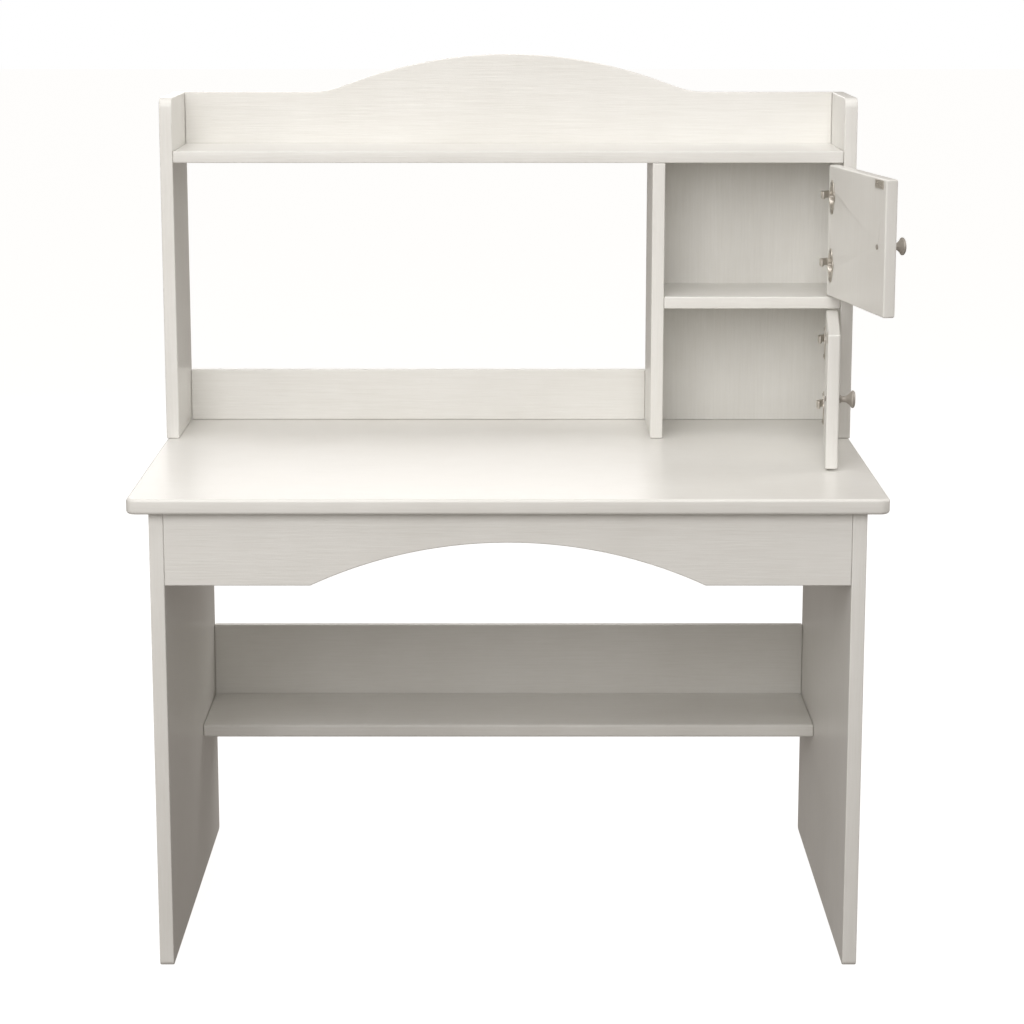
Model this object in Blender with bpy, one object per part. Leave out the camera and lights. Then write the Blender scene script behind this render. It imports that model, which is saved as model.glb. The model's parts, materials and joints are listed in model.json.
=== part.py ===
"""Desk with hutch: a white painted writing desk with an open hutch and a two-door cubby.

Metres, +Z up.  The front faces -Y and the cubby is on the right, at +X.  The origin is on the floor,
in the middle of the box that the desk fills with its two doors standing open.
"""
import math

import bmesh
import bpy
from mathutils import Matrix, Vector

# ---------------------------------------------------------------- driving dimensions
GAP = 0.0003                 # clearance kept between pieces that touch
BOARD_ROUND = 0.0016         # softening along a plain board's edges
SHELF_ROUND = 0.0030
SHEET_ROUND = 0.0008
DOOR_ROUND = 0.0030

DESK_WIDTH = 1.155
DESK_DEPTH = 0.700
DESK_HEIGHT = 0.750
TOP_THICK = 0.024
TOP_CORNER = 0.016           # plan radius of the desktop's corners
TOP_ROUND = 0.0045           # roundover along the desktop's edges

LEG_SPAN = 1.090             # outside to outside of the leg panels
LEG_THICK = 0.022
LEG_FRONT = 0.018            # how far the legs stand back from the desktop's front edge
LEG_BACK = 0.680
LEG_FOOT_RADIUS = 0.008

APRON_HEIGHT = 0.114
APRON_THICK = 0.020
APRON_ARCH_HALF = 0.301
APRON_ARCH_RISE = 0.067

LOW_SHELF_TOP = 0.258
LOW_SHELF_THICK = 0.022
LOW_SHELF_FRONT = 0.467
MODESTY_TOP = 0.383
MODESTY_THICK = 0.015

HUTCH_FRONT = 0.502          # from the desktop's front edge to the hutch's front plane
HUTCH_SIDE_THICK = 0.021
HUTCH_SIDE_TOP = 1.3215
HUTCH_CORNER = 0.016         # radius of the side panels' front top corner
HUTCH_BACK_THICK = 0.014
TOP_SHELF_TOP = 1.2338
TOP_SHELF_THICK = 0.019
CROWN_RISE = 0.0645
CROWN_HALF = 0.308
CROWN_FILLET = 0.060         # length of the soft foot at each end of the crown's arch
CROWN_STEPS = 48
BACK_RAIL_HEIGHT = 0.089

DIVIDER_RIGHT = 0.2605       # the cubby's left inner face
CUBBY_SHELF_TOP = 0.9915
CUBBY_SHELF_THICK = 0.020
CUBBY_BACK_THICK = 0.009

DOOR_THICK = 0.020
DOOR_SIDE_GAP = 0.002
DOOR_END_GAP = 0.003
UPPER_DOOR_OPEN = 101.0      # degrees open as modelled
LOWER_DOOR_OPEN = 84.0
PIVOT_IN = 0.006             # pivot axis, inwards from the side panel's inner face
PIVOT_BACK = 0.002           # pivot axis, behind the hutch's front plane

CUP_RADIUS = 0.0130
CUP_DEPTH = 0.0115
CUP_FROM_EDGE = 0.022
CUP_FROM_END = 0.052
CUP_WALL = 0.0010
FLANGE_THICK = 0.0014
FLANGE_HALF_LENGTH = 0.0285
FLANGE_HALF_WIDTH = 0.0145
FLANGE_EAR = 0.0058          # radius of the flange's rounded ears
FLANGE_SCREW = 0.0228        # from the cup's centre to each flange screw

ARM_OUT = 0.031              # the arm nose's distance from the side panel
ARM_NOSE = 0.015             # the arm nose's distance behind the hutch's front plane
ARM_SEAT = 0.0112            # centre of the arm's tail above the side panel
ARM_HALF = 0.0026            # half the arm's thickness
ARM_HEIGHT = 0.0120
ARM_CRANK = (0.031, 0.048)   # where the arm's crank starts and ends, behind the front plane
ARM_TAIL = 0.086
ARM_ROUND = 0.0006
PLATE_Y = 0.064              # middle of the mounting plate, behind the front plane
PLATE_HALF = 0.020
PLATE_BLOCK_HALF = 0.0065    # half the height of the block that carries the arm
PLATE_WING_HALF = 0.0060
PLATE_WING_THICK = 0.0018
PLATE_SCREW = 0.016          # from the plate's middle to each of its two screws

KNOB_RADIUS = 0.0142
KNOB_LENGTH = 0.0275
KNOB_FROM_EDGE = 0.035
STRIKE_SIZE = (0.038, 0.013)
STRIKE_THICK = 0.0012
STRIKE_HOLE = 0.0022
STRIKE_FROM_EDGE = 0.031
STRIKE_FROM_TOP = 0.0095
SCREW_RADIUS = 0.0016
SCREW_HOLE = SCREW_RADIUS + GAP
CUP_SCREW_LENGTH = 0.0095
CUP_SCREW_DEPTH = 0.010      # how deep the door is drilled for a flange screw
PLATE_SCREW_LENGTH = 0.014
KNOB_SCREW_HOLE = 0.0024
KNOB_SCREW_BITE = 0.0085     # how far the knob's screw reaches into the knob
CUT_PAST = 0.010             # how far a cutter runs past the face it opens

# ---------------------------------------------------------------- worked out from them
HALF_W = DESK_WIDTH / 2
FRONT_Y = -DESK_DEPTH / 2
BACK_Y = DESK_DEPTH / 2
TOP_UNDER = DESK_HEIGHT - TOP_THICK
LEG_OUT = LEG_SPAN / 2
LEG_IN = LEG_OUT - LEG_THICK
HUTCH_Y = FRONT_Y + HUTCH_FRONT
HUTCH_IN = HALF_W - HUTCH_SIDE_THICK
BACK_FACE_Y = BACK_Y - HUTCH_BACK_THICK
TOP_SHELF_UNDER = TOP_SHELF_TOP - TOP_SHELF_THICK
CUBBY_SHELF_UNDER = CUBBY_SHELF_TOP - CUBBY_SHELF_THICK
DIVIDER_LEFT = DIVIDER_RIGHT - HUTCH_SIDE_THICK
PIVOT_X = HUTCH_IN - PIVOT_IN
PIVOT_Y = HUTCH_Y + PIVOT_BACK
DOOR_WIDTH = HUTCH_IN - DIVIDER_RIGHT - 2 * DOOR_SIDE_GAP
HINGE_EDGE = PIVOT_IN - DOOR_SIDE_GAP          # from the pivot to the door's hinge edge, closed
CUP_X = HINGE_EDGE - CUP_FROM_EDGE              # the cups' axis in the door's closed frame
OUTER_FACE = -PIVOT_BACK                        # the door's outer face, in its closed frame
INNER_FACE = DOOR_THICK - PIVOT_BACK
UPPER_DOOR_Z = (CUBBY_SHELF_TOP + DOOR_END_GAP, TOP_SHELF_UNDER - DOOR_END_GAP)
LOWER_DOOR_Z = (DESK_HEIGHT + DOOR_END_GAP, CUBBY_SHELF_UNDER - DOOR_END_GAP)
DOORS = {"upper": UPPER_DOOR_Z, "lower": LOWER_DOOR_Z}

OPEN_ANGLE = math.radians(UPPER_DOOR_OPEN)
KNOB_X = HINGE_EDGE - DOOR_WIDTH + KNOB_FROM_EDGE   # the knob's axis in the door's closed frame
KNOB_REACH = (PIVOT_X + KNOB_X * math.cos(OPEN_ANGLE)
              + (KNOB_LENGTH + PIVOT_BACK) * math.sin(OPEN_ANGLE))
ORIGIN_X = -(KNOB_REACH - HALF_W) / 2               # puts the origin in the middle of the box


# ---------------------------------------------------------------- helpers
def clear_scene():
    for obj in list(bpy.data.objects):
        bpy.data.objects.remove(obj, do_unlink=True)


def material(name, color, roughness, metallic=0.0):
    mat = bpy.data.materials.get(name)
    if mat is None:
        mat = bpy.data.materials.new(name)
        mat.use_nodes = True
        shader = mat.node_tree.nodes["Principled BSDF"]
        shader.inputs["Base Color"].default_value = (*color, 1.0)
        shader.inputs["Roughness"].default_value = roughness
        shader.inputs["Metallic"].default_value = metallic
    return mat


def paint():
    return material("white_paint", (0.78, 0.77, 0.74), 0.38)


def nickel():
    return material("hinge_nickel", (0.62, 0.58, 0.52), 0.30, 1.0)


def pewter():
    return material("knob_pewter", (0.45, 0.42, 0.38), 0.35, 1.0)


def steel():
    return material("screw_steel", (0.50, 0.48, 0.45), 0.35, 1.0)


def new_object(name, bm, mat, parent=None, smooth=False):
    mesh = bpy.data.meshes.new(name)
    bmesh.ops.recalc_face_normals(bm, faces=bm.faces)
    bm.to_mesh(mesh)
    bm.free()
    mesh.materials.append(mat)
    if smooth:
        mesh.shade_smooth()
        mesh.set_sharp_from_angle(angle=math.radians(35))
    obj = bpy.data.objects.new(name, mesh)
    bpy.context.scene.collection.objects.link(obj)
    obj.parent = parent
    return obj


def add_bevel(obj, width, segments=2):
    mod = obj.modifiers.new("edge_round", "BEVEL")
    mod.width = width
    mod.segments = segments
    mod.limit_method = "ANGLE"
    mod.angle_limit = math.radians(40)
    return mod


def box_mesh(lo, hi):
    bm = bmesh.new()
    bmesh.ops.create_cube(bm, size=1.0)
    size = Vector(hi) - Vector(lo)
    middle = (Vector(hi) + Vector(lo)) / 2
    place = Matrix.Translation(middle) @ Matrix.Diagonal((*size, 1.0))
    bmesh.ops.transform(bm, matrix=place, verts=bm.verts)
    return bm


def board(name, lo, hi, parent, edge=BOARD_ROUND):
    """A plain board between two corners, with its edges softened."""
    obj = new_object(name, box_mesh(lo, hi), paint(), parent)
    add_bevel(obj, edge)
    return obj


def outline_mesh(points, axis, low, high):
    """A closed outline pushed along an axis: points are (a, b) pairs in the plane across it."""
    place = {"X": lambda a, b, t: (t, a, b),
             "Y": lambda a, b, t: (a, t, b),
             "Z": lambda a, b, t: (a, b, t)}[axis]
    bm = bmesh.new()
    face = bm.faces.new([bm.verts.new(place(a, b, low)) for a, b in points])
    grown = bmesh.ops.extrude_face_region(bm, geom=[face])
    moved = [v for v in grown["geom"] if isinstance(v, bmesh.types.BMVert)]
    bmesh.ops.translate(bm, vec=Vector(place(0.0, 0.0, high - low)), verts=moved)
    return bm


def arc(centre, radius, start, end, steps):
    """Points on an arc from one angle to another, in degrees."""
    turn = [math.radians(start + (end - start) * i / steps) for i in range(steps + 1)]
    return [(centre[0] + radius * math.cos(t), centre[1] + radius * math.sin(t)) for t in turn]


def cylinder_mesh(start, end, radius, segments=24):
    """A closed cylinder between two points."""
    start, end = Vector(start), Vector(end)
    along = end - start
    bm = bmesh.new()
    turn = Vector((0, 0, 1)).rotation_difference(along).to_matrix().to_4x4()
    bmesh.ops.create_cone(bm, cap_ends=True, segments=segments, radius1=radius, radius2=radius,
                          depth=along.length, matrix=Matrix.Translation((start + end) / 2) @ turn)
    return bm


def turned_mesh(profile, start, along, segments=24):
    """A turned solid: profile is (distance along the axis, radius) pairs, from one pole to the other."""
    along = Vector(along).normalized()
    side = along.orthogonal().normalized()
    other = along.cross(side)
    start = Vector(start)
    bm = bmesh.new()
    rings = []
    for travel, radius in profile:
        middle = start + along * travel
        if radius < 1e-6:
            rings.append([bm.verts.new(middle)])
            continue
        turns = [2 * math.pi * i / segments for i in range(segments)]
        rim = [side * math.cos(turn) + other * math.sin(turn) for turn in turns]
        rings.append([bm.verts.new(middle + out * radius) for out in rim])
    for near, far in zip(rings, rings[1:]):
        for i in range(segments):
            j = (i + 1) % segments
            if len(near) == 1:
                bm.faces.new((near[0], far[i], far[j]))
            elif len(far) == 1:
                bm.faces.new((near[i], near[j], far[0]))
            else:
                bm.faces.new((near[i], near[j], far[j], far[i]))
    return bm


def join_meshes(parts):
    """Several meshes as the separate bodies of one."""
    whole = bmesh.new()
    for part in parts:
        mesh = bpy.data.meshes.new("part")
        part.to_mesh(mesh)
        part.free()
        whole.from_mesh(mesh)
        bpy.data.meshes.remove(mesh)
    return whole


def cutter(bm, target, operation="DIFFERENCE"):
    """Cuts the target with a hidden tool, or joins the tool to it."""
    tool = new_object(target.name + "_tool", bm, target.data.materials[0], target.parent)
    tool.hide_render = True
    tool.display_type = "WIRE"
    mod = target.modifiers.new(operation.lower(), "BOOLEAN")
    mod.operation = operation
    mod.solver = "EXACT"
    mod.object = tool
    return mod


def frame_empty(name, location, parent=None, turn=0.0):
    empty = bpy.data.objects.new(name, None)
    bpy.context.scene.collection.objects.link(empty)
    empty.location = location
    empty.rotation_euler = (0.0, 0.0, turn)
    empty.parent = parent
    return empty


# ---------------------------------------------------------------- the desk
def make_desktop(desk):
    corner = TOP_CORNER
    centres = [(HALF_W - corner, BACK_Y - corner, 0), (-HALF_W + corner, BACK_Y - corner, 90),
               (-HALF_W + corner, FRONT_Y + corner, 180), (HALF_W - corner, FRONT_Y + corner, 270)]
    points = [p for x, y, start in centres for p in arc((x, y), corner, start, start + 90, 5)]
    top = new_object("desktop", outline_mesh(points, "Z", TOP_UNDER, DESK_HEIGHT), paint(), desk)
    add_bevel(top, TOP_ROUND, 3)


def make_leg(name, side, desk):
    """A full-height leg panel with rounded bottom corners; side is -1 on the left, 1 on the right."""
    front, back = FRONT_Y + LEG_FRONT, FRONT_Y + LEG_BACK
    foot = LEG_FOOT_RADIUS
    points = [(front, TOP_UNDER - GAP)] + arc((front + foot, foot), foot, 180, 270, 4)
    points += arc((back - foot, foot), foot, 270, 360, 4) + [(back, TOP_UNDER - GAP)]
    low, high = sorted((side * LEG_IN, side * LEG_OUT))
    leg = new_object(name, outline_mesh(points, "X", low, high), paint(), desk)
    add_bevel(leg, BOARD_ROUND)


def make_apron(desk):
    """The front apron: straight shoulders and one circular arch between them."""
    end = LEG_IN - GAP
    top, bottom = TOP_UNDER - GAP, TOP_UNDER - APRON_HEIGHT
    radius = (APRON_ARCH_HALF ** 2 + APRON_ARCH_RISE ** 2) / (2 * APRON_ARCH_RISE)
    spread = math.degrees(math.asin(APRON_ARCH_HALF / radius))
    centre = (0.0, bottom + APRON_ARCH_RISE - radius)
    points = [(end, top), (-end, top), (-end, bottom)]
    points += arc(centre, radius, 90 + spread, 90 - spread, 28) + [(end, bottom)]
    front = FRONT_Y + LEG_FRONT
    outline = outline_mesh(points, "Y", front, front + APRON_THICK)
    apron = new_object("front_apron", outline, paint(), desk)
    add_bevel(apron, BOARD_ROUND)


def make_desk_boards(desk):
    end = LEG_IN - GAP
    modesty_face = FRONT_Y + LEG_BACK - MODESTY_THICK
    shelf_under = LOW_SHELF_TOP - LOW_SHELF_THICK
    board("low_shelf", (-end, FRONT_Y + LOW_SHELF_FRONT, shelf_under),
          (end, modesty_face - GAP, LOW_SHELF_TOP), desk, SHELF_ROUND)
    board("modesty_board", (-end, modesty_face, shelf_under),
          (end, FRONT_Y + LEG_BACK, MODESTY_TOP), desk)


# ---------------------------------------------------------------- the hutch
def make_hutch_side(name, side, desk):
    """A hutch side panel with its front top corner rounded."""
    front, corner = HUTCH_Y, HUTCH_CORNER
    points = [(front, DESK_HEIGHT + GAP), (BACK_Y, DESK_HEIGHT + GAP), (BACK_Y, HUTCH_SIDE_TOP)]
    points += arc((front + corner, HUTCH_SIDE_TOP - corner), corner, 90, 180, 6)
    low, high = sorted((side * HUTCH_IN, side * HALF_W))
    panel = new_object(name, outline_mesh(points, "X", low, high), paint(), desk)
    add_bevel(panel, BOARD_ROUND)
    return panel


def crown_points():
    """The crown board's outline: level shoulders, a soft foot and one wide circular arch."""
    end = HUTCH_IN - GAP
    radius = (CROWN_HALF ** 2 + CROWN_RISE ** 2) / (2 * CROWN_RISE)
    centre_z = HUTCH_SIDE_TOP + CROWN_RISE - radius

    slope = CROWN_HALF / math.sqrt(radius ** 2 - CROWN_HALF ** 2)

    def height(x):
        inside = CROWN_HALF + CROWN_FILLET / 2 - abs(x)
        if inside < CROWN_FILLET:
            return HUTCH_SIDE_TOP + slope * inside ** 2 / (2 * CROWN_FILLET)
        return math.sqrt(radius ** 2 - x * x) + centre_z

    reach = CROWN_HALF + CROWN_FILLET / 2
    arch = [reach * (1 - 2 * i / CROWN_STEPS) for i in range(CROWN_STEPS + 1)]
    low, high = TOP_SHELF_UNDER, HUTCH_SIDE_TOP
    shoulders = [(-end, high), (-end, low), (end, low), (end, high)]
    return shoulders + [(x, height(x)) for x in arch]


def make_hutch(desk):
    left = make_hutch_side("hutch_left_side", -1, desk)
    right = make_hutch_side("hutch_right_side", 1, desk)
    outline = outline_mesh(crown_points(), "Y", BACK_FACE_Y, BACK_Y)
    add_bevel(new_object("crown_board", outline, paint(), desk), BOARD_ROUND)
    inner, shelf_back = HUTCH_IN - GAP, BACK_FACE_Y - GAP
    foot = DESK_HEIGHT + GAP
    ceiling = TOP_SHELF_UNDER - GAP
    board("hutch_top_shelf", (-inner, HUTCH_Y, TOP_SHELF_UNDER),
          (inner, shelf_back, TOP_SHELF_TOP), desk)
    board("hutch_divider", (DIVIDER_LEFT, HUTCH_Y, foot),
          (DIVIDER_RIGHT, shelf_back, ceiling), desk)
    board("hutch_back_rail", (-inner, BACK_FACE_Y, foot),
          (DIVIDER_LEFT, BACK_Y, DESK_HEIGHT + BACK_RAIL_HEIGHT), desk)
    board("cubby_back", (DIVIDER_LEFT + GAP, BACK_FACE_Y, foot),
          (inner, BACK_FACE_Y + CUBBY_BACK_THICK, ceiling), desk, SHEET_ROUND)
    board("cubby_shelf", (DIVIDER_RIGHT + GAP, HUTCH_Y, CUBBY_SHELF_UNDER),
          (inner, shelf_back, CUBBY_SHELF_TOP), desk)
    return left, right


# ---------------------------------------------------------------- the doors
def hinge_heights(door_z):
    return {"top": door_z[1] - CUP_FROM_END, "bottom": door_z[0] + CUP_FROM_END}


def make_door(name, door_z, pivot):
    """A plain slab door, drilled for its hinge cups and screws; x is zero at the pivot."""
    low = (HINGE_EDGE - DOOR_WIDTH, OUTER_FACE, door_z[0])
    door = board(name, low, (HINGE_EDGE, INNER_FACE, door_z[1]), pivot, DOOR_ROUND)
    past = INNER_FACE + CUT_PAST
    knob_z = (door_z[0] + door_z[1]) / 2
    tools = [cylinder_mesh((KNOB_X, OUTER_FACE - CUT_PAST, knob_z), (KNOB_X, past, knob_z),
                           KNOB_SCREW_HOLE, 12)]
    for z in hinge_heights(door_z).values():
        tools.append(cylinder_mesh((CUP_X, INNER_FACE - CUP_DEPTH, z), (CUP_X, past, z), CUP_RADIUS, 32))
        for hole_z in (z - FLANGE_SCREW, z + FLANGE_SCREW):
            tools.append(cylinder_mesh((CUP_X, INNER_FACE - CUP_SCREW_DEPTH, hole_z),
                                       (CUP_X, past, hole_z), SCREW_HOLE, 8))
    cutter(join_meshes(tools), door)


def flange_points(z):
    """A hinge cup's flange: a round middle drawn out into two rounded ears."""
    ear_z = FLANGE_HALF_LENGTH - FLANGE_EAR
    points = []
    for end in (1, -1):
        middle = arc((0.0, 0.0), FLANGE_HALF_WIDTH, -30, 30, 3)
        ear = arc((0.0, ear_z), FLANGE_EAR, 15, 165, 4)
        points += [(CUP_X + end * x, z + end * height) for x, height in middle + ear]
    return points


def make_hinge_cup(name, z, pivot):
    """A pressed cup with a flange, open towards the cabinet."""
    seat = INNER_FACE + GAP
    face = seat + FLANGE_THICK
    past = face + CUT_PAST
    cup = new_object(name, outline_mesh(flange_points(z), "Y", seat, face), nickel(), pivot)
    floor = INNER_FACE - CUP_DEPTH + GAP
    shell = cylinder_mesh((CUP_X, floor, z), (CUP_X, seat + FLANGE_THICK / 2, z), CUP_RADIUS - GAP, 32)
    cutter(shell, cup, "UNION")
    tools = [cylinder_mesh((CUP_X, floor + CUP_WALL, z), (CUP_X, past, z), CUP_RADIUS - CUP_WALL, 32)]
    tools += [cylinder_mesh((CUP_X, seat - GAP, hole_z), (CUP_X, past, hole_z), SCREW_HOLE, 8)
              for hole_z in (z - FLANGE_SCREW, z + FLANGE_SCREW)]
    cutter(join_meshes(tools), cup)


def screw_mesh(base, along, head_radius, head_height, shank):
    """A pan-head screw: base is under the head, along points out of the head."""
    profile = [(-shank, 0.0), (-shank + 0.0015, SCREW_RADIUS * 0.8), (-0.0005, SCREW_RADIUS),
               (0.0, SCREW_RADIUS), (0.0, head_radius), (head_height * 0.55, head_radius),
               (head_height * 0.9, head_radius * 0.7), (head_height, 0.0)]
    return turned_mesh(profile, base, along, 12)


def make_cup_screws(prefix, z, pivot):
    """The two screws through a hinge cup's flange."""
    base = (CUP_X, INNER_FACE + 2 * GAP + FLANGE_THICK)
    for end, label in ((1, "upper"), (-1, "lower")):
        place = (*base, z + end * FLANGE_SCREW)
        screw = screw_mesh(place, (0, 1, 0), 0.0032, 0.0016, CUP_SCREW_LENGTH)
        new_object(f"{prefix}_cup_screw_{label}", screw, steel(), pivot, smooth=True)


def make_knob(prefix, door_z, pivot):
    """A flared knob on the door's outer face, held by a screw from the inside."""
    z = (door_z[0] + door_z[1]) / 2
    base = (KNOB_X, OUTER_FACE - GAP, z)
    bore, bore_end = SCREW_RADIUS + GAP, KNOB_SCREW_BITE + 0.0015
    profile = [(bore_end, 0.0), (bore_end, bore), (0.0, bore), (0.0, 0.0062), (0.0012, 0.0066),
               (0.0030, 0.0052), (0.0100, 0.0050), (0.0150, 0.0078), (0.0190, 0.0118),
               (0.0212, KNOB_RADIUS), (0.0227, KNOB_RADIUS), (0.0247, KNOB_RADIUS * 0.84),
               (0.0265, KNOB_RADIUS * 0.50), (KNOB_LENGTH - GAP, 0.0)]
    knob = turned_mesh(profile, base, (0, -1, 0), 24)
    new_object(prefix + "_knob", knob, pewter(), pivot, smooth=True)
    head = (KNOB_X, INNER_FACE + GAP, z)
    screw = screw_mesh(head, (0, 1, 0), 0.0042, 0.0022, DOOR_THICK + KNOB_SCREW_BITE)
    new_object(prefix + "_knob_screw", screw, steel(), pivot, smooth=True)


def make_strike(name, door_z, pivot):
    """A steel strike plate in the inner face's top free corner, with its two screw holes."""
    x, z = HINGE_EDGE - DOOR_WIDTH + STRIKE_FROM_EDGE, door_z[1] - STRIKE_FROM_TOP
    half_x, half_z = STRIKE_SIZE[0] / 2, STRIKE_SIZE[1] / 2
    seat = INNER_FACE + GAP
    sheet = box_mesh((x - half_x, seat, z - half_z), (x + half_x, seat + STRIKE_THICK, z + half_z))
    plate = new_object(name, sheet, nickel(), pivot)
    holes = [cylinder_mesh((hole_x, seat - GAP, z), (hole_x, seat + CUT_PAST, z), STRIKE_HOLE, 12)
             for hole_x in (x - half_x * 0.55, x + half_x * 0.55)]
    cutter(join_meshes(holes), plate)


# ---------------------------------------------------------------- fittings on the cabinet
def make_plate(name, z, desk):
    """A cross-shaped mounting plate on the right side panel's inner face."""
    face = HUTCH_IN - GAP
    top = HUTCH_IN - ARM_SEAT + ARM_HALF + GAP
    y = HUTCH_Y + PLATE_Y
    half_y, half_z = PLATE_HALF, PLATE_BLOCK_HALF
    block = box_mesh((top, y - half_y, z - half_z), (face, y + half_y, z + half_z))
    half_y, half_z = PLATE_WING_HALF, PLATE_SCREW + PLATE_BLOCK_HALF
    wing = box_mesh((face - PLATE_WING_THICK, y - half_y, z - half_z), (face, y + half_y, z + half_z))
    plate = new_object(name, block, nickel(), desk)
    cutter(wing, plate, "UNION")
    holes = [cylinder_mesh((face - CUT_PAST, y, hole_z), (face + CUT_PAST, y, hole_z), SCREW_HOLE, 8)
             for hole_z in (z - PLATE_SCREW, z + PLATE_SCREW)]
    cutter(join_meshes(holes), plate)


def side_pair(points, half):
    """Both sides of a centre line, with its corners mitred."""
    points = [Vector(p) for p in points]
    runs = [(after - before).normalized() for before, after in zip(points, points[1:])]
    left, right = [], []
    for point, first, last in zip(points, runs[:1] + runs, runs + runs[-1:]):
        tangent = (first + last).normalized()
        across = Vector((-tangent.y, tangent.x)) * half / tangent.dot(last)
        left.append(tuple(point + across))
        right.append(tuple(point - across))
    return left, right


def make_arm(name, z, desk):
    """The cranked arm: its nose stands off the side panel, and its tail sits on the plate."""
    out, seat = HUTCH_IN - ARM_OUT, HUTCH_IN - ARM_SEAT
    line = [(out, HUTCH_Y + ARM_NOSE), (out, HUTCH_Y + ARM_CRANK[0]),
            (seat, HUTCH_Y + ARM_CRANK[1]), (seat, HUTCH_Y + ARM_TAIL)]
    left, right = side_pair(line, ARM_HALF)
    nose = arc(line[0], ARM_HALF, 180, 360, 6)[1:-1]
    points = nose + right + list(reversed(left))
    half = ARM_HEIGHT / 2
    arm = new_object(name, outline_mesh(points, "Z", z - half, z + half), nickel(), desk)
    add_bevel(arm, ARM_ROUND, 1)


def make_cabinet_fittings(desk, right_side):
    """The hinges' plates, arms and screws on the right side panel, which is drilled for them."""
    y, face = HUTCH_Y + PLATE_Y, HUTCH_IN - GAP
    pilots = []
    for door, door_z in DOORS.items():
        for place, z in hinge_heights(door_z).items():
            label = f"{door}_{place}"
            make_plate(label + "_hinge_plate", z, desk)
            make_arm(label + "_hinge_arm", z, desk)
            for end, which in ((1, "upper"), (-1, "lower")):
                hole_z = z + end * PLATE_SCREW
                head = (face - PLATE_WING_THICK - GAP, y, hole_z)
                screw = screw_mesh(head, (-1, 0, 0), 0.0034, 0.0018, PLATE_SCREW_LENGTH)
                new_object(f"{label}_plate_screw_{which}", screw, steel(), desk, smooth=True)
                pilots.append(cylinder_mesh((face - CUT_PAST / 2, y, hole_z),
                                            (face + PLATE_SCREW_LENGTH, y, hole_z), SCREW_HOLE, 8))
    cutter(join_meshes(pilots), right_side)


def make_door_set(prefix, door_z, opening, desk):
    pivot = frame_empty(prefix + "_door_pivot", (PIVOT_X, PIVOT_Y, 0.0), desk, math.radians(opening))
    make_door(prefix + "_door", door_z, pivot)
    for place, z in hinge_heights(door_z).items():
        make_hinge_cup(f"{prefix}_{place}_hinge_cup", z, pivot)
        make_cup_screws(f"{prefix}_{place}", z, pivot)
    make_knob(prefix, door_z, pivot)
    make_strike(prefix + "_strike_plate", door_z, pivot)


def main():
    clear_scene()
    desk = frame_empty("desk_frame", (ORIGIN_X, 0.0, 0.0))
    make_desktop(desk)
    make_leg("left_leg_panel", -1, desk)
    make_leg("right_leg_panel", 1, desk)
    make_apron(desk)
    make_desk_boards(desk)
    right_side = make_hutch(desk)[1]
    make_cabinet_fittings(desk, right_side)
    make_door_set("upper", UPPER_DOOR_Z, UPPER_DOOR_OPEN, desk)
    make_door_set("lower", LOWER_DOOR_Z, LOWER_DOOR_OPEN, desk)


if __name__ == "__main__":
    main()
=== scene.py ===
"""The looks of a white painted desk with a hutch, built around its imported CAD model.

Metres, +Z up.  The front faces -Y and the two-door cubby is at +X.  Boards and knobs are rebuilt as fine
surfaces in the space that their CAD nodes hold; doors and small fittings are smoothed copies of theirs.
"""
import json
import math

import bmesh
import bpy
import numpy as np
from bpy.props import FloatProperty, FloatVectorProperty
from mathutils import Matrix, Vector


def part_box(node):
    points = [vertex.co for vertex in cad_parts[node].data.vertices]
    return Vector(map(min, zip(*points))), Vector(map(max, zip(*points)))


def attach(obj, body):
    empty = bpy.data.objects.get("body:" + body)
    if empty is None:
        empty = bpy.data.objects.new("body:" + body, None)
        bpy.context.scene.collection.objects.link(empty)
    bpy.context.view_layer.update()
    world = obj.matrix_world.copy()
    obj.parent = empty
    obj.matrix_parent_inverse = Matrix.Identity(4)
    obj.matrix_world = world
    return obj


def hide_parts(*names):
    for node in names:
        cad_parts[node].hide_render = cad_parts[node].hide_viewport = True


bl_info = {
    "name": "Desk with hutch",
    "version": (1, 0, 0),
    "blender": (4, 5, 0),
    "location": "View3D > Sidebar > Desk",
    "description": "Builds the painted boards, doors and fittings of a desk with a hutch",
    "category": "Object",
}

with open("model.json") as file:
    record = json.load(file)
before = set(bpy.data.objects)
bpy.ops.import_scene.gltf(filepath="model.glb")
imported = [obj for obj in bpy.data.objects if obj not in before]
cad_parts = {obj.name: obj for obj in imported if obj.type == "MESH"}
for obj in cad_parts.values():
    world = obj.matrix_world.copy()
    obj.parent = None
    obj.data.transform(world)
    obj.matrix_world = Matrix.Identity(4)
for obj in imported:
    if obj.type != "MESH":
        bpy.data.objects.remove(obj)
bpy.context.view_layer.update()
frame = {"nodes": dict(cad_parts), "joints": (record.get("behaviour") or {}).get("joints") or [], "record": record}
BODIES = {node: body for body, members in frame["record"]["behaviour"]["bodies"].items()
          for node in members}
OPENING = {joint["child"]: -min(joint["range_deg"]) for joint in frame["joints"]}  # degrees at rest

DESK_MIDDLE = sum(corner.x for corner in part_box("desktop")) / 2
CORNER_STEPS = 12            # steps round each corner of an outline
EDGE_STEPS = 6               # rings across each rounded edge
CROWN_STEPS = 160            # steps along the crown's arch
SUPPORT = 0.0004             # width of the flat ring that keeps a face's shading flat
WELD = 1e-6                  # points closer than this are one
SQUARE_SHARE = 1.5           # a plain corner's radius, in roundings of its edge
SHARP_ANGLE = 35.0           # degrees; a sharper edge isn't shaded smooth
DOOR_SHARP_ANGLE = 50.0      # degrees; the doors' rounded edges have coarser facets

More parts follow.
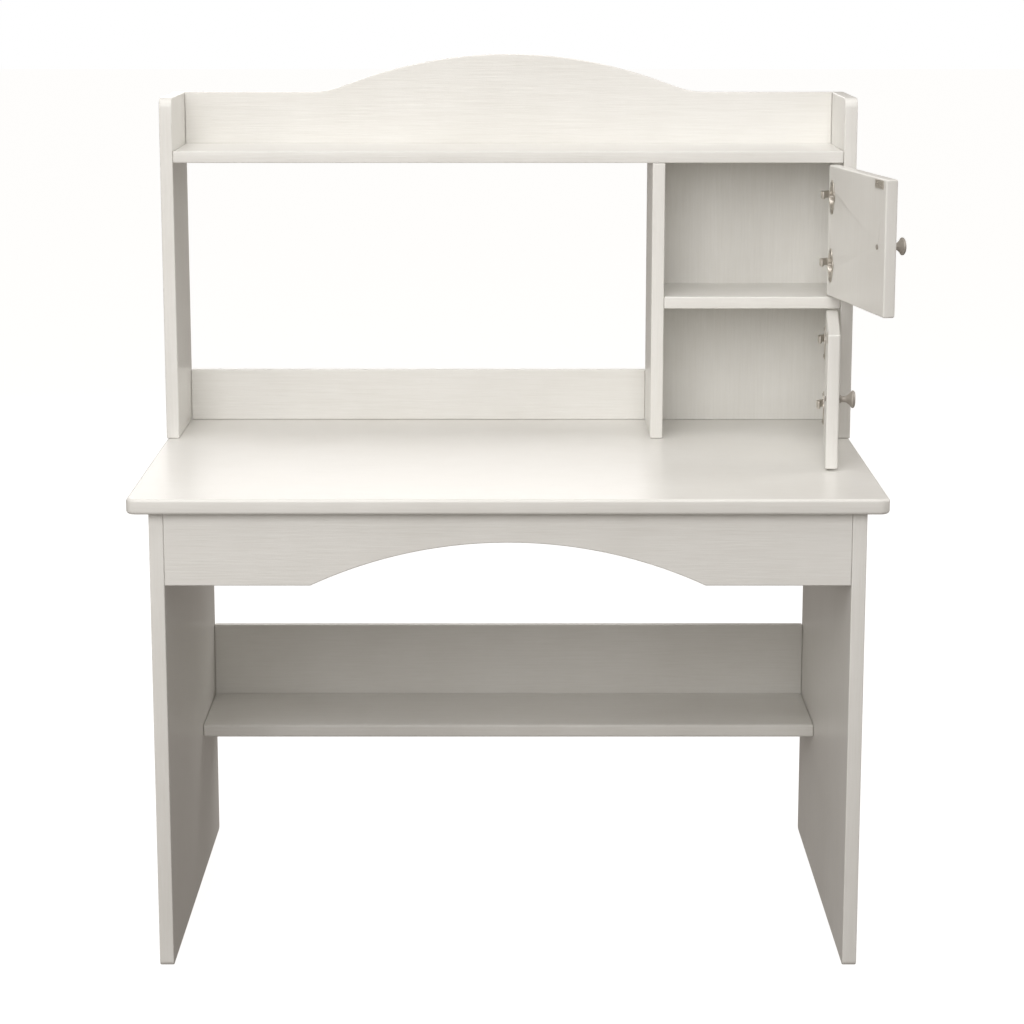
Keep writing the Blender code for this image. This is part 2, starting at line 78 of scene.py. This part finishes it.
CAMERA_PLACE = (-0.0190, -4.279, 1.5724)
CAMERA_TILT = 0.1918         # radians below level
CAMERA_LENS = 93.7           # millimetres
CAMERA_SENSOR = 36.0         # millimetres
CAMERA_SHIFT = -0.05
CAMERA_RANGE = (0.1, 100.0)  # nearest and furthest distance that it sees

FLOOR_REACH = 30.0           # half the floor's width
FLOOR_LEVEL = -0.0005        # just under the feet
FLOOR_COLOR = (0.22, 0.22, 0.215, 1.0)
FLOOR_GLOW = (1.0, 0.995, 0.985, 1.0)
FLOOR_GLOW_STRENGTH = 0.93
ROOM_COLOR = (1.0, 0.91, 0.83, 1.0)
ROOM_STRENGTH = 0.24
BACKDROP_COLOR = (1.0, 1.0, 1.0, 1.0)
LIGHT_AIM = 0.8              # height that every light points at
LIGHTS = (                   # name, place, width, watts, colour
    ("front_soft", (-0.5, -4.0, 2.9), 3.0, 113.0, (1.0, 0.99, 0.98)),
    ("top_soft", (-0.2, -0.6, 4.2), 3.2, 62.0, (1.0, 0.99, 0.98)),
    ("left_soft", (-3.6, -2.6, 1.9), 2.0, 30.0, (1.0, 0.98, 0.95)),
    ("right_soft", (4.0, 0.9, 2.2), 2.4, 62.0, (1.0, 0.98, 0.95)),
    ("back_soft", (-0.8, 4.4, 2.4), 2.8, 45.0, (1.0, 0.98, 0.96)),
)

# Grain is stretched along a board: it varies 22 times faster across it.
GRAIN_ALONG = {"X": (1.0, 22.0, 22.0), "Y": (22.0, 1.0, 22.0), "Z": (22.0, 22.0, 1.0)}
CLOUD_SIZE, GRAIN_SIZE, FINE_SIZE = 5.0, 14.0, 55.0     # noise scales, in features per metre
PEEL_SIZE, SPECK_SIZE = 620.0, 90.0
CLOUD_TONE, GRAIN_TONE, SPECK_TONE = 0.55, 0.45, 0.10   # each one's share in the colour
GRAIN_RELIEF, FINE_RELIEF, PEEL_RELIEF = 0.55, 0.30, 0.15
PAINT_RELIEF = 0.00030       # depth of the paint's whole relief
GLOSS_RANGE = 0.10           # how far the paint's roughness varies
COAT, COAT_ROUGHNESS = 0.12, 0.18

BRUSH_SIZE, STAIN_SIZE = 180.0, 140.0                   # noise scales on metal
STAIN_DARKNESS = 0.62
METAL_RELIEF = 0.00006


# ---------------------------------------------------------------- shader maths
def as_link(value):
    return value.socket if isinstance(value, Value) else value


class Value:
    """A socket that can be used in Python expressions; each operator adds one Math node."""

    def __init__(self, tree, socket):
        self.tree, self.socket = tree, socket

    def math(self, operation, *others):
        values = dict(enumerate((self, *others)))
        return self.tree.node("ShaderNodeMath", {"operation": operation}, values)

    def __add__(self, other):
        return self.math("ADD", other)

    def __mul__(self, other):
        return self.math("MULTIPLY", other)

    __radd__ = __add__
    __rmul__ = __mul__

    def clamped(self):
        return self.tree.node("ShaderNodeClamp", {}, {"Value": self})


class Paintbox:
    """One material's node tree, with its Principled shader."""

    def __init__(self, name):
        self.material = bpy.data.materials.new(name)
        self.material.use_nodes = True
        self.nodes = self.material.node_tree.nodes
        self.links = self.material.node_tree.links
        self.shader = self.nodes["Principled BSDF"]

    def node(self, kind, settings, values, output=0):
        """Any node: its settings first, then the numbers or links of its sockets."""
        made = self.nodes.new(kind)
        for key, setting in settings.items():
            setattr(made, key, setting)
        self.fill(made, values)
        return Value(self, made.outputs[output])

    def fill(self, made, values):
        for key, value in values.items():
            link = as_link(value)
            if isinstance(link, bpy.types.NodeSocket):
                self.links.new(link, made.inputs[key])
            else:
                made.inputs[key].default_value = link

    def mix(self, share, low, high):
        """A colour between two others."""
        return self.node("ShaderNodeMix", {"data_type": "RGBA"}, {0: share, 6: low, 7: high}, 2)

    def place(self, scale=(1.0, 1.0, 1.0)):
        """Object coordinates, stretched along the axes."""
        coords = self.node("ShaderNodeTexCoord", {}, {}, 3)
        return self.node("ShaderNodeMapping", {}, {"Vector": coords, "Scale": scale})

    def noise(self, where, scale, detail=3.0, roughness=0.55):
        return self.node("ShaderNodeTexNoise", {}, {"Vector": where, "Scale": scale,
                                                    "Detail": detail, "Roughness": roughness})

    def spread(self, value, low, high):
        """Stretches a value so that low becomes 0 and high becomes 1."""
        return self.node("ShaderNodeMapRange", {}, {0: value, 1: low, 2: high})

    def bump(self, height, distance, strength=1.0):
        return self.node("ShaderNodeBump", {}, {"Height": height, "Distance": distance,
                                                "Strength": strength})

    def finish(self, **values):
        names = {"color": "Base Color", "roughness": "Roughness", "normal": "Normal",
                 "metallic": "Metallic", "coat": "Coat Weight", "coat_roughness": "Coat Roughness"}
        self.fill(self.shader, {names[key]: value for key, value in values.items()})
        return self.material


def white_paint(settings, along, depth=1.0):
    """Satin white paint on wood: the board's grain shows through as faint streaks, and the brushed
    coat is a little uneven in tone and gloss."""
    name = f"white_paint_{along}_{int(depth * 100)}"
    if name in bpy.data.materials:
        return bpy.data.materials[name]
    box = Paintbox(name)
    body = box.place()
    streaks = box.place(GRAIN_ALONG[along])
    cloud = box.spread(box.noise(body, CLOUD_SIZE, 4.0, 0.60), 0.30, 0.70)
    grain = box.spread(box.noise(streaks, GRAIN_SIZE, 5.0, 0.62), 0.30, 0.72)
    fine = box.noise(streaks, FINE_SIZE, 3.0, 0.55)
    peel = box.noise(body, PEEL_SIZE, 2.0, 0.50)
    speck = box.spread(box.noise(body, SPECK_SIZE, 2.0, 0.50), 0.66, 0.74)
    paint = (*settings.paint_color, 1.0)
    shade = (*settings.shade_color, 1.0)
    tone = (cloud * CLOUD_TONE + grain * (GRAIN_TONE * depth)).clamped()
    color = box.mix(tone, shade, paint)
    color = box.mix(speck * SPECK_TONE, color, shade)
    gloss = box.spread(cloud * 0.6 + fine * 0.4, 0.2, 0.8)
    roughness = gloss * GLOSS_RANGE + (settings.paint_roughness - GLOSS_RANGE / 2)
    height = grain * (GRAIN_RELIEF * depth) + fine * (FINE_RELIEF * depth) + peel * PEEL_RELIEF
    normal = box.bump(height, PAINT_RELIEF * settings.grain_depth)
    return box.finish(color=color, roughness=roughness, normal=normal, coat=COAT,
                      coat_roughness=COAT_ROUGHNESS)


def plated_steel(settings, name, color, roughness, brushed):
    """Plated metal: brushed across its height, with small dull stains."""
    if name in bpy.data.materials:
        return bpy.data.materials[name]
    box = Paintbox(name)
    lines = box.noise(box.place((1.0, 1.0, brushed)), BRUSH_SIZE, 4.0, 0.60)
    stain = box.spread(box.noise(box.place(), STAIN_SIZE, 4.0, 0.60), 0.42, 0.70)
    dark = tuple(part * STAIN_DARKNESS for part in color)
    tone = box.mix(stain * 0.7, (*color, 1.0), (*dark, 1.0))
    rough = lines * 0.16 + stain * 0.14 + (roughness - 0.10)
    return box.finish(color=tone, roughness=rough, metallic=1.0,
                      normal=box.bump(lines, METAL_RELIEF))


def hinge_nickel(settings):
    return plated_steel(settings, "hinge_nickel", settings.nickel_color, 0.32, 6.0)


# ---------------------------------------------------------------- surfaces
def arc(centre, radius, start, end, steps=CORNER_STEPS):
    """Points on a circle's arc: centre + radius * (cos t, sin t), with t in degrees."""
    turn = np.radians(np.linspace(start, end, steps + 1))
    return np.column_stack((centre[0] + radius * np.cos(turn), centre[1] + radius * np.sin(turn)))


def box_outline(low, high, radii):
    """An outline round a rectangle, anticlockwise from its low corner; each corner is a quarter
    circle of its own radius."""
    (x0, y0), (x1, y1) = low, high
    a, b, c, d = radii
    return np.vstack((arc((x0 + a, y0 + a), a, 180, 270), arc((x1 - b, y0 + b), b, 270, 360),
                      arc((x1 - c, y1 - c), c, 0, 90), arc((x0 + d, y1 - d), d, 90, 180)))


def inset(outline, distance):
    """The outline moved inwards by distance: each point goes along the mitre of its two edges'
    normals, m = (n1 + n2) / (1 + n1 . n2)."""
    edges = np.roll(outline, -1, axis=0) - outline
    edges = edges / np.linalg.norm(edges, axis=1, keepdims=True)
    after = np.column_stack((-edges[:, 1], edges[:, 0]))
    before = np.roll(after, 1, axis=0)
    mitre = (before + after) / (1.0 + np.sum(before * after, axis=1, keepdims=True))
    return outline + mitre * distance


def ringed_mesh(name, points, count, levels):
    """A closed skin over rings of count points each: quads join each ring to the next, and an
    n-gon closes the first and the last."""
    near = np.arange(count)
    far = np.roll(near, -1)
    starts = count * np.arange(levels - 1)[:, None]
    quads = np.stack((starts + near, starts + far, starts + far + count, starts + near + count), axis=-1)
    caps = [near[::-1].tolist(), (near + count * (levels - 1)).tolist()]
    mesh = bpy.data.meshes.new(name)
    mesh.from_pydata(points.tolist(), [], quads.reshape(-1, 4).tolist() + caps)
    return mesh


def slab_mesh(name, outline, axis, low, high, radius):
    """A board: a rounded edge profile carried along its outline.

    The profile's inset and height at angle t from 0 to 90 degrees are r (1 - sin t) and r (1 - cos t)
    from each face, with one flat ring inside it."""
    turn = np.linspace(0.0, np.pi / 2, EDGE_STEPS + 1)
    depth = np.concatenate(([radius + SUPPORT], radius * (1.0 - np.sin(turn))))
    level = np.concatenate(([0.0], radius * (1.0 - np.cos(turn))))
    insets = np.concatenate((depth, depth[::-1]))
    heights = np.concatenate((low + level, high - level[::-1]))
    rings = [np.column_stack((inset(outline, d), np.full(len(outline), h)))
             for d, h in zip(insets, heights)]
    points = np.vstack(rings)
    order = {"X": (2, 0, 1), "Y": (0, 2, 1), "Z": (0, 1, 2)}[axis]
    return ringed_mesh(name, points[:, order], len(outline), len(rings))


def turned_mesh(name, profile, base, along, sides=64):
    """A turned piece: base + a travel + r (u cos t + v sin t), for each (travel, r) of the profile
    and t round the axis a; u and v are square to it."""
    along = np.array(along) / np.linalg.norm(along)
    across = np.cross(along, (0.0, 0.0, 1.0))
    across = across / np.linalg.norm(across)
    other = np.cross(along, across)
    turn = np.linspace(0.0, 2 * np.pi, sides, endpoint=False)
    rim = across * np.cos(turn)[:, None] + other * np.sin(turn)[:, None]
    travel, radius = profile[:, 0], profile[:, 1]
    points = np.array(base) + along * travel[:, None, None] + rim[None] * radius[:, None, None]
    return ringed_mesh(name, points.reshape(-1, 3), sides, len(profile))


def smooth_through(points, steps=6):
    """A smooth line through the points, by the Catmull-Rom formula."""
    points = np.vstack((points[:1], points, points[-1:])).astype(float)
    t = np.linspace(0.0, 1.0, steps, endpoint=False)[:, None]
    p0, p1, p2, p3 = points[:-3, None], points[1:-2, None], points[2:-1, None], points[3:, None]
    curve = 0.5 * (2 * p1 + (p2 - p0) * t + (2 * p0 - 5 * p1 + 4 * p2 - p3) * t ** 2
                   + (3 * p1 - p0 - 3 * p2 + p3) * t ** 3)
    return np.vstack((curve.reshape(-1, 2), points[-1:]))


def add_piece(name, mesh, material, nodes, angle=SHARP_ANGLE):
    """Puts a finished mesh into the scene: normals outwards, shaded smooth but for sharp edges,
    riding on the body of the CAD nodes that it stands for."""
    bm = bmesh.new()
    bm.from_mesh(mesh)
    bmesh.ops.remove_doubles(bm, verts=bm.verts, dist=WELD)
    bmesh.ops.recalc_face_normals(bm, faces=bm.faces)
    bm.to_mesh(mesh)
    bm.free()
    mesh.shade_smooth()
    mesh.set_sharp_from_angle(angle=math.radians(angle))
    mesh.materials.clear()
    mesh.materials.append(material)
    piece = bpy.data.objects.new(name, mesh)
    bpy.context.scene.collection.objects.link(piece)
    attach(piece, BODIES[nodes[0]])
    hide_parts(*nodes)
    return piece


def box_board(node, axis, along, radius, corners, settings, depth=1.0):
    """A rectangular board in its CAD node's box. The outline's plane is across the given axis, and
    corners are the radii of its four corners."""
    low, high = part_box(node)
    t = "XYZ".index(axis)
    a, b = [i for i in range(3) if i != t]
    outline = box_outline((low[a], low[b]), (high[a], high[b]), corners)
    mesh = slab_mesh(node + "_fine", outline, axis, low[t], high[t], radius)
    return add_piece(node + "_fine", mesh, white_paint(settings, along, depth), [node])


def arch_radius(half, rise):
    """The radius of a circular arch: R = (half^2 + rise^2) / (2 rise)."""
    return (half ** 2 + rise ** 2) / (2 * rise)


def arch_line(half, rise, middle, foot, steps=96):
    """A circular arch from left to right: z = foot + sqrt(R^2 - x^2) - (R - rise)."""
    radius = arch_radius(half, rise)
    x = np.linspace(-half, half, steps + 1)
    return np.column_stack((middle + x, foot + rise - radius + np.sqrt(radius ** 2 - x ** 2)))


# ---------------------------------------------------------------- settings
class DeskFinish(bpy.types.PropertyGroup):
    paint_color: FloatVectorProperty(
        name="Paint", description="The white paint's own colour", subtype="COLOR",
        default=(0.835, 0.828, 0.800), min=0.0, max=1.0)
    shade_color: FloatVectorProperty(
        name="Paint shade", description="The colour of the grain's hollows and thin spots",
        subtype="COLOR", default=(0.745, 0.732, 0.694), min=0.0, max=1.0)
    paint_roughness: FloatProperty(
        name="Paint roughness", description="How satin the paint is", default=0.36, min=0.05, max=1.0)
    grain_depth: FloatProperty(
        name="Grain depth", description="How far the wood's grain shows through the paint",
        default=1.0, min=0.0, max=4.0)
    nickel_color: FloatVectorProperty(
        name="Nickel", description="The hinges' plated colour", subtype="COLOR",
        default=(0.40, 0.36, 0.30), min=0.0, max=1.0)
    pewter_color: FloatVectorProperty(
        name="Pewter", description="The knobs' colour", subtype="COLOR",
        default=(0.33, 0.29, 0.25), min=0.0, max=1.0)


class DeskSizes(bpy.types.PropertyGroup):
    top_corner: FloatProperty(
        name="Desktop corner", description="Plan radius of the desktop's corners", unit="LENGTH",
        default=0.016, min=0.001)
    top_round: FloatProperty(
        name="Desktop edge", description="Rounding along the desktop's edges", unit="LENGTH",
        default=0.0050, min=0.0005)
    board_round: FloatProperty(
        name="Board edge", description="Rounding along a plain board's edges", unit="LENGTH",
        default=0.0018, min=0.0005)
    shelf_round: FloatProperty(
        name="Shelf edge", description="Rounding along a shelf's front edge", unit="LENGTH",
        default=0.0028, min=0.0005)
    foot_corner: FloatProperty(
        name="Foot corner", description="Radius of the leg panels' bottom corners", unit="LENGTH",
        default=0.008, min=0.001)
    hutch_corner: FloatProperty(
        name="Hutch corner", description="Radius of the side panels' front top corner", unit="LENGTH",
        default=0.016, min=0.001)
    crown_half: FloatProperty(
        name="Crown half width", description="Half the width of the crown's arch", unit="LENGTH",
        default=0.308, min=0.05)
    crown_fillet: FloatProperty(
        name="Crown foot", description="Length of the soft foot at each end of the crown's arch",
        unit="LENGTH", default=0.060, min=0.005)
    apron_half: FloatProperty(
        name="Apron half width", description="Half the width of the apron's arch", unit="LENGTH",
        default=0.301, min=0.05)
    apron_rise: FloatProperty(
        name="Apron rise", description="Height of the apron's arch", unit="LENGTH",
        default=0.067, min=0.005)


# ---------------------------------------------------------------- pieces
class DESK_OT_top(bpy.types.Operator):
    """Builds the desktop, with rounded corners and edges"""
    bl_idname = "desk.top"
    bl_label = "Desktop"

    def execute(self, context):
        finish, sizes = context.scene.desk_finish, context.scene.desk_sizes
        box_board("desktop", "Z", "X", sizes.top_round, (sizes.top_corner,) * 4, finish, 0.7)
        return {"FINISHED"}


class DESK_OT_stand(bpy.types.Operator):
    """Builds the leg panels, the arched apron, the low shelf and the modesty board"""
    bl_idname = "desk.stand"
    bl_label = "Legs, apron and low shelf"

    def execute(self, context):
        finish, sizes = context.scene.desk_finish, context.scene.desk_sizes
        square = sizes.board_round * SQUARE_SHARE
        foot = sizes.foot_corner
        for node in ("left_leg_panel", "right_leg_panel"):
            box_board(node, "X", "Z", sizes.board_round, (foot, foot, square, square), finish)
        low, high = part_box("front_apron")
        arch = arch_line(sizes.apron_half, sizes.apron_rise, DESK_MIDDLE, low.z)
        ends = np.array([(high.x, low.z), (high.x, high.z), (low.x, high.z), (low.x, low.z)])
        mesh = slab_mesh("front_apron_fine", np.vstack((arch, ends)), "Y", low.y, high.y,
                         sizes.board_round)
        add_piece("front_apron_fine", mesh, white_paint(finish, "X"), ["front_apron"])
        shelf_square = sizes.shelf_round * SQUARE_SHARE
        box_board("low_shelf", "X", "X", sizes.shelf_round, (shelf_square,) * 4, finish)
        box_board("modesty_board", "Y", "X", sizes.board_round, (square,) * 4, finish)
        return {"FINISHED"}


def crown_outline(sizes):
    """The crown's outline: z is a circle's arch in the middle, and a parabola tangent to both the
    arch's slope and the level shoulder at each of its feet."""
    low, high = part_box("crown_board")
    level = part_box("hutch_left_side")[1].z
    rise = high.z - level
    half, fillet = sizes.crown_half, sizes.crown_fillet
    radius = arch_radius(half, rise)
    slope = half / math.sqrt(radius ** 2 - half ** 2)
    reach = half + fillet / 2
    x = np.linspace(reach, -reach, CROWN_STEPS + 1)
    inside = reach - np.abs(x)
    circle = np.sqrt(radius ** 2 - np.minimum(np.abs(x), half) ** 2) + level + rise - radius
    z = np.where(inside < fillet, level + slope * inside ** 2 / (2 * fillet), circle)
    shoulders = np.array([(low.x, level), (low.x, low.z), (high.x, low.z), (high.x, level)])
    return np.vstack((shoulders, np.column_stack((DESK_MIDDLE + x, z))))


class DESK_OT_hutch(bpy.types.Operator):
    """Builds the hutch's sides, shelves, divider, rail, cubby back and crown board"""
    bl_idname = "desk.hutch"
    bl_label = "Hutch"

    def execute(self, context):
        finish, sizes = context.scene.desk_finish, context.scene.desk_sizes
        edge = sizes.board_round
        square = edge * SQUARE_SHARE
        for node in ("hutch_left_side", "hutch_right_side"):
            box_board(node, "X", "Z", edge, (square, square, square, sizes.hutch_corner), finish)
        low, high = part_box("crown_board")
        mesh = slab_mesh("crown_board_fine", crown_outline(sizes), "Y", low.y, high.y, edge)
        add_piece("crown_board_fine", mesh, white_paint(finish, "X"), ["crown_board"])
        box_board("hutch_top_shelf", "Z", "X", edge, (square,) * 4, finish)
        box_board("hutch_divider", "X", "Z", edge, (square,) * 4, finish)
        box_board("hutch_back_rail", "Y", "X", edge, (square,) * 4, finish)
        box_board("cubby_back", "Y", "Z", edge / 2, (edge,) * 4, finish)
        box_board("cubby_shelf", "Z", "X", edge, (square,) * 4, finish)
        return {"FINISHED"}


def smooth_copy(node, material, angle=SHARP_ANGLE):
    """A merged and smoothly shaded copy of a CAD node, standing for it."""
    mesh = frame["nodes"][node].data.copy()
    mesh.name = node + "_fine"
    piece = add_piece(node + "_fine", mesh, material, [node], angle)
    flat = piece.modifiers.new("flat_faces", "WEIGHTED_NORMAL")
    flat.keep_sharp = True
    return piece


def knob_profile(length, radius):
    """A flared knob's (travel, radius) line: a foot, a slim waist, a cone and a domed face, drawn in
    shares of the length and the radius. At angle t the dome is at (0.82 + 0.18 sin t, cos(t)^0.55)."""
    waist = np.array([(0.0, 0.44), (0.05, 0.47), (0.12, 0.37), (0.34, 0.35), (0.50, 0.48),
                      (0.66, 0.74), (0.76, 0.95)])
    turn = np.radians(np.linspace(-20, 84, 14))
    dome = np.column_stack((0.82 + 0.18 * np.sin(turn), np.cos(turn) ** 0.55))
    line = np.vstack((smooth_through(waist), dome, [(1.0, 0.02)]))
    return line * (length, radius)


class DESK_OT_doors(bpy.types.Operator):
    """Builds the two doors with their knobs, screws and strike plates"""
    bl_idname = "desk.doors"
    bl_label = "Doors"

    def execute(self, context):
        finish = context.scene.desk_finish
        pewter = plated_steel(finish, "knob_pewter", finish.pewter_color, 0.36, 1.0)
        nickel = hinge_nickel(finish)
        for prefix in ("upper", "lower"):
            smooth_copy(prefix + "_door", white_paint(finish, "Z", 0.8),
                        DOOR_SHARP_ANGLE)
            smooth_copy(prefix + "_strike_plate", nickel)
            smooth_copy(prefix + "_knob_screw", pewter)
            self.knob(prefix, OPENING[prefix + "_door"], pewter)
        return {"FINISHED"}

    def knob(self, prefix, opening, pewter):
        """The knob points out of its door's outer face, which the opening angle turns."""
        low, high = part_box(prefix + "_knob")
        turn = math.radians(opening)
        out = Vector((math.sin(turn), -math.cos(turn), 0.0))
        radius = (high.z - low.z) / 2
        middle = (low + high) / 2
        spread = high.x - low.x
        length = (spread - 2 * radius * abs(math.cos(turn))) / abs(math.sin(turn))
        base = middle - out * (length / 2)
        mesh = turned_mesh(prefix + "_knob_fine", knob_profile(length, radius), base, out)
        add_piece(prefix + "_knob_fine", mesh, pewter, [prefix + "_knob"])


class DESK_OT_fittings(bpy.types.Operator):
    """Builds the hinges and their screws"""
    bl_idname = "desk.fittings"
    bl_label = "Hinges"

    def execute(self, context):
        finish = context.scene.desk_finish
        nickel = hinge_nickel(finish)
        steel = plated_steel(finish, "screw_steel", (0.46, 0.44, 0.41), 0.34, 1.0)
        for node in sorted(BODIES):
            if node.endswith(("_cup", "_arm", "_plate")) and "_hinge_" in node:
                smooth_copy(node, nickel)
            elif "_cup_screw_" in node or "_plate_screw_" in node:
                smooth_copy(node, steel)
        return {"FINISHED"}


# ---------------------------------------------------------------- stage
def area_light(name, place, target, size, power, color):
    """A soft square light that faces its target."""
    data = bpy.data.lights.new(name, "AREA")
    data.shape, data.size = "SQUARE", size
    data.energy, data.color = power, color
    light = bpy.data.objects.new(name, data)
    light.location = place
    light.rotation_euler = (Vector(target) - Vector(place)).to_track_quat("-Z", "Y").to_euler()
    bpy.context.scene.collection.objects.link(light)


class DESK_OT_stage(bpy.types.Operator):
    """Sets up the camera, the pale floor and the studio light"""
    bl_idname = "desk.stage"
    bl_label = "Stage"

    def execute(self, context):
        self.camera(context.scene)
        self.floor()
        self.lights(context.scene)
        return {"FINISHED"}

    def camera(self, scene):
        data = bpy.data.cameras.new("camera")
        data.lens, data.sensor_width, data.shift_y = CAMERA_LENS, CAMERA_SENSOR, CAMERA_SHIFT
        data.clip_start, data.clip_end = CAMERA_RANGE
        camera = bpy.data.objects.new("camera", data)
        camera.location = CAMERA_PLACE
        camera.rotation_euler = (math.pi / 2 - CAMERA_TILT, 0.0, 0.0)
        scene.collection.objects.link(camera)
        scene.camera = camera

    def floor(self):
        mesh = bpy.data.meshes.new("floor")
        signs = ((-1, -1), (1, -1), (1, 1), (-1, 1))
        corners = [(x * FLOOR_REACH, y * FLOOR_REACH, FLOOR_LEVEL) for x, y in signs]
        mesh.from_pydata(corners, [], [(0, 1, 2, 3)])
        box = Paintbox("floor_pale")
        box.shader.inputs["Emission Color"].default_value = FLOOR_GLOW
        box.shader.inputs["Emission Strength"].default_value = FLOOR_GLOW_STRENGTH
        mesh.materials.append(box.finish(color=FLOOR_COLOR, roughness=0.9))
        floor = bpy.data.objects.new("floor", mesh)
        bpy.context.scene.collection.objects.link(floor)
        floor.visible_diffuse = False
        floor.visible_glossy = False

    def lights(self, scene):
        for name, place, width, watts, color in LIGHTS:
            area_light(name, place, (DESK_MIDDLE, 0.0, LIGHT_AIM), width, watts, color)
        world = bpy.data.worlds.new("studio")
        world.use_nodes = True
        nodes, links = world.node_tree.nodes, world.node_tree.links
        room = nodes["Background"]
        room.inputs["Color"].default_value = ROOM_COLOR
        room.inputs["Strength"].default_value = ROOM_STRENGTH
        backdrop = nodes.new("ShaderNodeBackground")
        backdrop.inputs["Color"].default_value = BACKDROP_COLOR
        seen = nodes.new("ShaderNodeLightPath")
        mixed = nodes.new("ShaderNodeMixShader")
        links.new(seen.outputs["Is Camera Ray"], mixed.inputs[0])
        links.new(room.outputs[0], mixed.inputs[1])
        links.new(backdrop.outputs[0], mixed.inputs[2])
        links.new(mixed.outputs[0], nodes["World Output"].inputs["Surface"])
        scene.world = world
        scene.view_settings.view_transform = "Standard"


class DESK_PT_sidebar(bpy.types.Panel):
    """Lists the pieces and their sizes and finishes"""
    bl_label = "Desk with hutch"
    bl_idname = "DESK_PT_sidebar"
    bl_space_type = "VIEW_3D"
    bl_region_type = "UI"
    bl_category = "Desk"

    def draw(self, context):
        for operator in PIECES:
            self.layout.operator(operator.bl_idname)
        for group in (context.scene.desk_sizes, context.scene.desk_finish):
            for name in group.__annotations__:
                self.layout.prop(group, name)


PIECES = (DESK_OT_top, DESK_OT_stand, DESK_OT_hutch, DESK_OT_doors, DESK_OT_fittings, DESK_OT_stage)
CLASSES = (DeskFinish, DeskSizes, *PIECES, DESK_PT_sidebar)


def register():
    for cls in CLASSES:
        bpy.utils.register_class(cls)
    bpy.types.Scene.desk_finish = bpy.props.PointerProperty(type=DeskFinish)
    bpy.types.Scene.desk_sizes = bpy.props.PointerProperty(type=DeskSizes)


def unregister():
    del bpy.types.Scene.desk_sizes
    del bpy.types.Scene.desk_finish
    for cls in reversed(CLASSES):
        bpy.utils.unregister_class(cls)


def main():
    register()
    bpy.ops.desk.top()
    bpy.ops.desk.stand()
    bpy.ops.desk.hutch()
    bpy.ops.desk.doors()
    bpy.ops.desk.fittings()
    bpy.ops.desk.stage()


if __name__ == "__main__":
    main()
